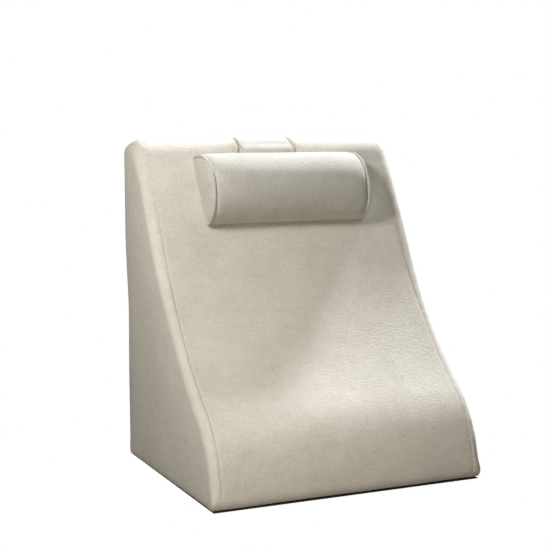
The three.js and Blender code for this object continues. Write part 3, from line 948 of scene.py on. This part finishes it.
def strap_bend():
    """The last of the strap, sewn to the bolster."""
    ridge = wedge.marks["ridge"]
    parts = strap_length("strap_bend", ridge - BOLSTER_DROP - 0.6 * MM,
                         ridge - BOLSTER_DROP + STRAP_BEND)
    for part in parts:
        tuple(on_face(0.0, STRAP_BEND, 0.0))
        tuple(on_face(0.0, 1 * MM, 0.0))
        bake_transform(part)


def strap_top():
    start, end = wedge.marks["ridge"] + STRAP_SPLIT, wedge.marks["back"] + 1 * MM
    s = np.linspace(start, end, 50)
    place, normal = wedge.at(s)
    piece, outer, x = strap_band("strap_top", place, normal, pressed(s), slack=0.7)
    finish_piece(piece, "backrest", "velour", "strap_top_section")
    rows = stitches("strap_top_stitches", strap_stitch_rows(outer, x), np.array((1.0, 0, 0)), THREAD)
    finish_piece(rows, "backrest", "velour")


def strap_rear():
    """Down the back and over the hook and loop tapes, to the free end."""
    top = wedge.at(wedge.marks["back"])[0][1] - 1 * MM
    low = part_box("strap_rear_section")[0].z
    stand_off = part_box("strap_rear_section")[1].y - STRAP_THICK - BACK - STRAP_GAP
    loop_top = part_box("back_loop_tape")[1].z
    z = np.linspace(top, low, 110)
    step = ease(-z, (-top, -loop_top - 24 * MM, -loop_top - 2 * MM, -low), (0, 0, stand_off, stand_off))
    place = np.column_stack([BACK + step, z])
    normal = np.column_stack([np.ones(len(z)), np.zeros(len(z))])
    piece, outer, x = strap_band("strap_rear", place, normal, pressed(back_height(z)), slack=0.7)
    rows = strap_stitch_rows(outer, x)
    hook_low, hook_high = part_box("strap_hook_tape")
    for height in (low + 6 * MM, hook_high.z - 3 * MM):
        i = int(np.argmin(np.abs(z - height)))
        rows.append(outer[i, 8:-8])
    stitched = stitches("strap_rear_stitches", rows, np.array((0.3, 0, 1.0)), THREAD)
    for part in (piece, stitched):
        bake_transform(part)
    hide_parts("strap_rear_section")


def tape_pad(name, node_name, body, material, slot, fuzzy_side):
    """Hook or loop tape: a thin pad with flat woven edges, in the place of its CAD node."""
    low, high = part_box(node_name)
    x = low.x + spacing(high.x - low.x, 3 * MM)
    z = low.z + spacing(high.z - low.z, 3 * MM)
    grid = np.zeros((len(z), len(x), 3))
    grid[..., 0], grid[..., 2] = x[None, :], z[:, None]
    to_edge = np.minimum(np.minimum(x - low.x, high.x - x)[None, :],
                         np.minimum(z - low.z, high.z - z)[:, None])
    thick = 0.8 * MM + 0.45 * MM * np.clip((to_edge - 2.5 * MM) / (1.5 * MM), 0, 1)
    thick = thick + 0.15 * MM * wavy(grid, 0.004, 2.0)
    ground = low.y if fuzzy_side > 0 else high.y
    grid[..., 1] = ground
    outer = grid.copy()
    outer[..., 1] = ground + fuzzy_side * thick
    piece = sheet_between(name, outer, grid, material)
    finish_piece(piece, body, slot, node_name)
    inset, y = 2 * MM, ground + fuzzy_side * 0.9 * MM
    corners = [(low.x + inset, low.z + inset), (high.x - inset, low.z + inset),
               (high.x - inset, high.z - inset), (low.x + inset, high.z - inset)]
    rows = []
    for (x0, z0), (x1, z1) in zip(corners, corners[1:] + corners[:1]):
        t = np.linspace(0, 1, 60)
        rows.append(np.column_stack([x0 + (x1 - x0) * t, np.full(60, y), z0 + (z1 - z0) * t]))
    stitched = stitches(f"{name}_stitches", rows, np.array((0, 1.0, 0)), THREAD)
    finish_piece(stitched, body, slot)


def make_strap():
    strap_front()
    strap_bend()
    strap_top()
    strap_rear()
    tape_pad("back_loop_tape_pad", "back_loop_tape", "backrest", LOOPS, "loop_tape", 1)
    tape_pad("strap_hook_tape_pad", "strap_hook_tape", "strap_rear", HOOKS, "hook_tape", -1)


# ---- zips --------------------------------------------------------------------------------------------

def zip_tape(name, length, sign, place):
    """A woven tape beside the coils, wavy where it is sewn."""
    x = np.linspace(-length / 2 - 8 * MM, length / 2 + 8 * MM, round(length / (4 * MM)))
    across = sign * np.linspace(2.8 * MM, 14 * MM, 9)
    local = np.zeros((len(across), len(x), 3))
    local[..., 0], local[..., 2] = x[None, :], across[:, None]
    local[..., 1] = 0.35 * MM + 0.15 * MM * wavy(local, 0.012)
    turn = np.array(place.to_3x3())
    grid = local @ turn.T + np.array(place.translation)
    outward = turn @ np.array((0, 1, 0))
    return shell(name, grid, TAPE, outward, thickness=0.7 * MM)


def zip_coil(name, length, sign, place):
    """One nylon coil, clear of the slider's post, its turns half a pitch from those of the other."""
    pitch = 2.5 * MM
    turns = int(length / pitch)
    angle = np.arange(turns * 10) / 10 * 2 * math.pi
    shift = pitch / 2 if sign > 0 else 0
    local = np.column_stack([
        -length / 2 + shift + angle / (2 * math.pi) * pitch,
        0.62 * MM * np.sin(angle),
        sign * (1.6 + 0.74 * np.cos(angle)) * MM,
    ])
    turn = np.array(place.to_3x3())
    path = local @ turn.T + np.array(place.translation)
    return tube(name, path, turn @ np.array((1.0, 0, 0)), 0.36 * MM, NYLON, sides=5)


def slider_body(name, place, with_arch):
    """A heart-shaped slider: two plates joined by a post, with side flanges, and an arch for a pull."""
    x = np.linspace(-6, 6, 13)
    half = 3.3 + 1.2 * ease(x, (-6, -2, 3, 6), (0, 0.1, 1, 0.8))
    half = half * np.sqrt(np.clip(1 - (np.abs(x) / 6.6) ** 6, 0, 1))
    outline = [(a * MM, b * MM) for a, b in zip(x, half)]
    outline += [(a * MM, -b * MM) for a, b in zip(x[::-1], half[::-1])]
    parts = [prism(outline, 1.3 * MM, 2.1 * MM, place), prism(outline, -2.1 * MM, -1.3 * MM, place)]
    post = [(1.5 * MM, -0.4 * MM), (4.5 * MM, -0.4 * MM), (4.5 * MM, 0.4 * MM), (1.5 * MM, 0.4 * MM)]
    parts.append(prism(post, -1.3 * MM, 1.3 * MM, place))
    for sign in (-1, 1):
        flange = [(-5 * MM, sign * 3.2 * MM), (1 * MM, sign * 3.2 * MM),
                  (1 * MM, sign * 3.7 * MM), (-5 * MM, sign * 3.7 * MM)]
        parts.append(prism(flange, -2.0 * MM, -0.7 * MM, place))
        parts.append(prism(flange, 0.7 * MM, 2.0 * MM, place))
    if with_arch:
        parts.append(prism(arch_outline(), -1.1 * MM, 1.1 * MM, place @ Matrix.Rotation(-QUARTER, 4, "X")))
    return joined(name, parts, METAL, bevel=0.25 * MM)


def arch_outline():
    """The slider's bridge seen from the side: X along the zip, and its height as minus Z."""
    angle = np.linspace(0, math.pi, 13)
    outer = [(3.2 * MM * math.cos(a), 1.6 * MM + 3.1 * MM * math.sin(a)) for a in angle]
    inner = [(2.4 * MM * math.cos(a), 1.6 * MM + 2.3 * MM * math.sin(a)) for a in angle[::-1]]
    return [(x, -z) for x, z in outer + inner]


def pull_tab(name, place):
    """A flat tab with a rounded end, an eye for the slider's arch, and a hanging hole."""
    thick, level = 1.0 * MM, 3.1 * MM
    around = np.arange(48) / 48 * 2 * math.pi
    eye_middle, half_eye = -2.6 * MM, (2.0 * MM, 2.0 * MM)

    def ray_to_outline(angle):
        """Distance from the eye's middle to the tab's edge."""
        direction = np.array((math.cos(angle), math.sin(angle)))
        reaches = []
        for limit, component in ((0.6 * MM - eye_middle, direction[0]), (3.4 * MM, abs(direction[1]))):
            if component > 1e-9:
                reaches.append(limit / component)
        centre = -16.6 * MM - eye_middle
        along = centre * direction[0]
        inside = along ** 2 - centre ** 2 + (3.4 * MM) ** 2
        if direction[0] < 0 and inside >= 0 and (along + math.sqrt(inside)) * direction[0] < centre:
            reaches = [along + math.sqrt(inside)]
        return min(reaches) * direction

    outer = np.array([ray_to_outline(a) for a in around]) + (eye_middle, 0)
    inner = np.column_stack([eye_middle + half_eye[0] * np.cos(around), half_eye[1] * np.sin(around)])
    verts, faces = [], []
    for y in (level - thick / 2, level + thick / 2):
        for loop in (outer, inner):
            verts += [place @ Vector((x, y, z)) for x, z in loop]
    n = len(around)
    for i in range(n):
        j = (i + 1) % n
        faces += [(i, j, n + j, n + i), (2 * n + i, 2 * n + j, 3 * n + j, 3 * n + i),
                  (i, j, 2 * n + j, 2 * n + i), (n + i, n + j, 3 * n + j, 3 * n + i)]
    piece = new_piece(name, verts, faces, METAL, smooth=False)
    rounding(piece, 0.2 * MM)
    return piece


def make_zip(name, length, place, body, park):
    """Tapes, coils, stops and slider. The stops are the CAD's own, with rounded edges."""
    for side, sign in (("upper", 1), ("lower", -1)):
        tape = zip_tape(f"{name}_woven_tape_{side}", length, sign, place)
        finish_piece(tape, body, "zip_tape", f"{name}_tape_{side}")
        coil = zip_coil(f"{name}_nylon_coil_{side}", length, sign, place)
        finish_piece(coil, body, "zip_coil", f"{name}_coil_{side}")
    for stop in ("top_stop_upper", "top_stop_lower", "bottom_stop"):
        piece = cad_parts[f"{name}_{stop}"]
        piece.data.materials.clear()
        piece.data.materials.append(METAL)
        rounding(piece, 0.3 * MM)
    parked = place @ Matrix.Translation((length / 2 - park, 0, 0))
    has_pull = f"{name}_pull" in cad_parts
    slider = slider_body(f"{name}_metal_slider", parked, has_pull)
    finish_piece(slider, f"{name}_slider", "zip_metal", f"{name}_slider")
    if has_pull:
        pull = pull_tab(f"{name}_metal_pull", parked)
        finish_piece(pull, f"{name}_pull", "zip_metal", f"{name}_pull")


# ---- bolster -----------------------------------------------------------------------------------------

WRAP_ROWS, BACK_ROWS, CAP_RINGS = 43, 27, 10


def bolster_loop():
    """(out, up) round the bolster: from its lower back corner over the front, then down the back."""
    angle = np.linspace(-QUARTER, QUARTER, WRAP_ROWS)
    out = FACE_GAP + BOLSTER_DEPTH * np.cos(angle)
    up = -BOLSTER_HEIGHT / 2 * (1 - np.sin(angle)) - BOLSTER_SAG * np.cos(angle)
    back = np.linspace(0, -BOLSTER_HEIGHT, BACK_ROWS)[1:-1]
    return np.concatenate([out, np.full(len(back), FACE_GAP)]), np.concatenate([up, back])


def ear_reach(out, up):
    """How far the corners of the end seams stand out past their middles, most at the upper edge."""
    return (6 * MM + 4 * MM * up / BOLSTER_HEIGHT) * (1 - out / (BOLSTER_DEPTH + FACE_GAP))


def bolster_form():
    """The cover before it is stuffed: end panels and wrap as one grid, rows round the bolster."""
    out, up = bolster_loop()
    ear = ear_reach(out, up)
    across = np.linspace(-1, 1, 60)
    x = BOLSTER_MIDDLE + across * (BOLSTER_RIGHT - BOLSTER_LEFT) / 2 + across ** 3 * ear[:, None]
    from_end = (1 - np.abs(across)) * (BOLSTER_RIGHT - BOLSTER_LEFT) / 2
    crown = 7 * MM * (1 - np.exp(-from_end / 0.022)) * (out[:, None] - FACE_GAP) / BOLSTER_DEPTH
    body = on_face(x, up[:, None], out[:, None] + crown)
    middle_out, middle_up = 0.36 * BOLSTER_DEPTH, -BOLSTER_HEIGHT / 2
    shares = np.linspace(0.06, 1, CAP_RINGS + 1)[:-1]
    rings_out = middle_out + (out[:, None] - middle_out) * shares
    rings_up = middle_up + (up[:, None] - middle_up) * shares
    stand = ear[:, None] * shares
    left = on_face(BOLSTER_LEFT - stand, rings_up, rings_out)
    right = on_face(BOLSTER_RIGHT + stand, rings_up, rings_out)[:, ::-1]
    return np.concatenate([left, body, right], axis=1)


def inflated(grid, held, pressure, slack, reach):
    """Cloth simulation: the closed grid is blown up from inside, with its held points fixed.
    No point ends up further than reach from where it was."""
    rows, cols = grid.shape[:2]
    faces = grid_faces(rows, cols, wrap_rows=True)
    for j in (0, cols - 1):
        faces.append(tuple(i * cols + j for i in range(rows)))
    form = new_piece("cloth_form", grid.reshape(-1, 3), faces, VELOUR)
    group = form.vertex_groups.new(name="held")
    group.add([int(i) for i in np.flatnonzero(held.reshape(-1))], 1.0, "REPLACE")
    cloth = form.modifiers.new("cloth", "CLOTH").settings
    cloth.quality = 6
    cloth.mass = 0.4
    cloth.tension_stiffness = cloth.shear_stiffness = 0.3
    cloth.compression_stiffness = 12
    cloth.bending_stiffness = 0.6
    cloth.effector_weights.gravity = 0
    cloth.use_pressure = True
    cloth.uniform_pressure_force = pressure
    cloth.vertex_group_mass = "held"
    cloth.shrink_min = -slack
    scene = bpy.context.scene
    for step in range(1, 21):
        scene.frame_set(step)
    settled = form.evaluated_get(bpy.context.evaluated_depsgraph_get()).to_mesh()
    moved = np.zeros(len(settled.vertices) * 3)
    settled.vertices.foreach_get("co", moved)
    scene.frame_set(1)
    bpy.data.objects.remove(form)
    shift = moved.reshape(grid.shape) - grid
    size = np.maximum(np.linalg.norm(shift, axis=-1, keepdims=True), 1e-9)
    return grid + shift / size * reach * np.tanh(size / reach)


def stuffed_bolster():
    grid = bolster_form()
    held = np.zeros(grid.shape[:2], bool)
    held[:, [CAP_RINGS, -CAP_RINGS - 1]] = True
    held[[0, WRAP_ROWS - 1], CAP_RINGS:-CAP_RINGS] = True
    held[WRAP_ROWS:, CAP_RINGS:-CAP_RINGS] = True
    return inflated(grid, held, pressure=60, slack=0.004, reach=15 * MM)


def cover_wrap(grid):
    """The front of the cover, from its lower seam over the front to its upper seam."""
    part = grid[:WRAP_ROWS, CAP_RINGS:-CAP_RINGS]
    width = BOLSTER_RIGHT - BOLSTER_LEFT
    girth = path_length(part[:, part.shape[1] // 2])
    cols, rows = spacing(width, 4 * MM), spacing(girth, 4 * MM)
    part = resampled(part, rows / girth * (part.shape[0] - 1), 0)
    part = resampled(part, cols / width * (part.shape[1] - 1), 1)
    outward = grid_normals(part, False, OUT_OF_FACE)
    to_end = np.minimum(cols, width - cols)[None, :]
    to_back = np.minimum(rows, girth - rows)[:, None]
    pucker = 0.6 * MM * np.exp(-to_end / 0.016) * wavy(part, 0.011, 2.0)
    lift = seam_dip(to_end, 0.8, 3.5, 7 * MM) + seam_dip(to_back, 0.5) + pucker
    piece = shell("bolster_wrap", part + outward * lift[..., None], BOLSTER_VELOUR, OUT_OF_FACE)
    finish_piece(piece, "bolster", "velour", "bolster_cover_wrap", fill=0.9)


def end_panel(grid, side, sign):
    rings = grid[:, :CAP_RINGS + 1] if sign < 0 else grid[:, -CAP_RINGS - 1:][:, ::-1]
    pole = np.broadcast_to(rings[:, 0].mean(axis=0), rings[:, :1].shape)
    rings = np.concatenate([pole, rings], axis=1)
    at = np.concatenate([np.linspace(0, CAP_RINGS, 22), CAP_RINGS + np.array((0.3, 0.6, 0.8, 0.92, 1))])
    rings = resampled(rings, at, 1)
    closed = np.concatenate([rings, rings[:1]])
    rings = resampled(closed, np.arange(0, len(rings), 0.5), 0)
    to_seam = np.linalg.norm(rings - rings[:, -1:], axis=-1)
    outward = np.array((sign, 0, 0))
    pucker = 0.6 * MM * np.exp(-to_seam / 0.012) * wavy(rings, 0.010, 6.0)
    rings = rings + (seam_dip(to_seam, 0.8, 3.5, 7 * MM) + pucker)[..., None] * outward
    piece = shell(f"bolster_end_panel_{side}", rings, BOLSTER_VELOUR, outward, wrap_rows=True)
    finish_piece(piece, "bolster", "velour", f"bolster_end_{side}", fill=0.9)


def welt(side, sign):
    """Piping in the seam round an end panel, clear of the face behind it."""
    out, up = bolster_loop()
    middle = np.array((0.36 * BOLSTER_DEPTH, -BOLSTER_HEIGHT / 2))
    path = np.column_stack([out, up])
    path = middle + (path - middle) * (1 + 0.8 * MM / np.linalg.norm(path - middle, axis=1, keepdims=True))
    path[:, 0] = np.maximum(path[:, 0], FACE_GAP + WELT_RADIUS)
    path = resampled(np.concatenate([path, path[:1]]), np.arange(0, len(path), 1 / 3))
    for _ in range(6):
        path = (np.roll(path, 1, axis=0) + 2 * path + np.roll(path, -1, axis=0)) / 4
    seam_x = BOLSTER_LEFT if sign < 0 else BOLSTER_RIGHT
    x = seam_x + sign * (0.6 * MM + ear_reach(path[:, 0], path[:, 1]))
    line = on_face(x, path[:, 1], path[:, 0])
    radius = WELT_RADIUS * (1 + 0.07 * wavy(line, 0.006, 3.0))
    piece = tube(f"bolster_piping_{side}", line, np.array((1.0, 0, 0)), radius, BOLSTER_VELOUR,
                 12, closed=True)
    finish_piece(piece, "bolster", "welt", f"bolster_welt_{side}")


def back_flap(name, low, high, replaced):
    """Part of the bolster's flat back, against the face."""
    up = low + spacing(high - low, 5 * MM)
    x = BOLSTER_LEFT + spacing(BOLSTER_RIGHT - BOLSTER_LEFT, 6 * MM)
    to_edge = np.minimum(np.minimum(x - BOLSTER_LEFT, BOLSTER_RIGHT - x)[None, :],
                         np.minimum(up - low, high - up)[:, None])
    inward = 0.3 * MM - seam_dip(to_edge, 0.0)
    grid = on_face(x[None, :], up[:, None], FACE_GAP + inward)
    grid += OUT_OF_FACE * 0.2 * MM * wavy(grid, 0.05)[..., None]
    piece = shell(name, grid, BOLSTER_VELOUR, -OUT_OF_FACE)
    finish_piece(piece, "bolster", "velour", replaced, fill=0.9)


def hem_edge():
    """The rolled edge of the bolster's lower seam, just clear of the face. Its warm tan is painted warm
    bounce light under the bolster.
    """
    x = np.linspace(BOLSTER_LEFT + 1 * MM, BOLSTER_RIGHT - 1 * MM, 120)
    radius = 2.2 * MM
    line = on_face(x, -BOLSTER_HEIGHT - radius, FACE_GAP + radius + 0.3 * MM)
    line = line + OUT_OF_FACE * 0.3 * MM * (1 + wavy(line, 0.03))[:, None]
    piece = tube("bolster_hem_edge", line, OUT_OF_FACE, radius, PAINTED_BOUNCE_VELOUR, 8)
    finish_piece(piece, "bolster", "welt")


def bolster_foam(grid):
    """The stuffing, just inside the cover."""
    outward = grid_normals(grid, True, grid - grid.mean(axis=(0, 1)))
    inner = grid - outward * 3.5 * MM
    inner[WRAP_ROWS:] += OUT_OF_FACE * 5 * MM
    rows, cols = inner.shape[:2]
    faces = grid_faces(rows, cols, wrap_rows=True)
    for j in (0, cols - 1):
        faces.append(tuple(i * cols + j for i in range(rows)))
    piece = new_piece("bolster_foam", inner.reshape(-1, 3), faces, SOFT_FOAM)
    finish_piece(piece, "bolster", "soft_foam", "bolster_core_foam", fill=0.9)


def make_bolster():
    grid = stuffed_bolster()
    cover_wrap(grid)
    for side, sign in (("left", -1), ("right", 1)):
        end_panel(grid, side, sign)
        welt(side, sign)
    back_flap("bolster_back_flap", -BOLSTER_ZIP_DROP + ZIP_SLOT, 0, "bolster_back_panel")
    back_flap("bolster_hem_flap", -BOLSTER_HEIGHT, -BOLSTER_ZIP_DROP - ZIP_SLOT, "bolster_back_hem_strip")
    hem_edge()
    bolster_foam(grid)


def zip_places():
    """Frames of the two zips: X along, Y out of the cloth, Z across."""
    back = Matrix.Translation((0, BACK - ZIP_DEPTH, BACK_ZIP_HEIGHT))
    middle = on_face(BOLSTER_MIDDLE, -BOLSTER_ZIP_DROP, FACE_GAP + ZIP_DEPTH)
    bolster = Matrix.Translation(middle.tolist()) @ Matrix.Rotation(-FACE_LEAN, 4, "X")
    return back, bolster


make_camera()
make_studio()
make_wedge()
make_strap()
make_bolster()
back_place, bolster_place = zip_places()
make_zip("cover_zip", 2 * BACK_ZIP_HALF, back_place, "backrest", 10 * MM)
make_zip("bolster_zip", 2 * BOLSTER_ZIP_HALF, bolster_place, "bolster", 10 * MM)
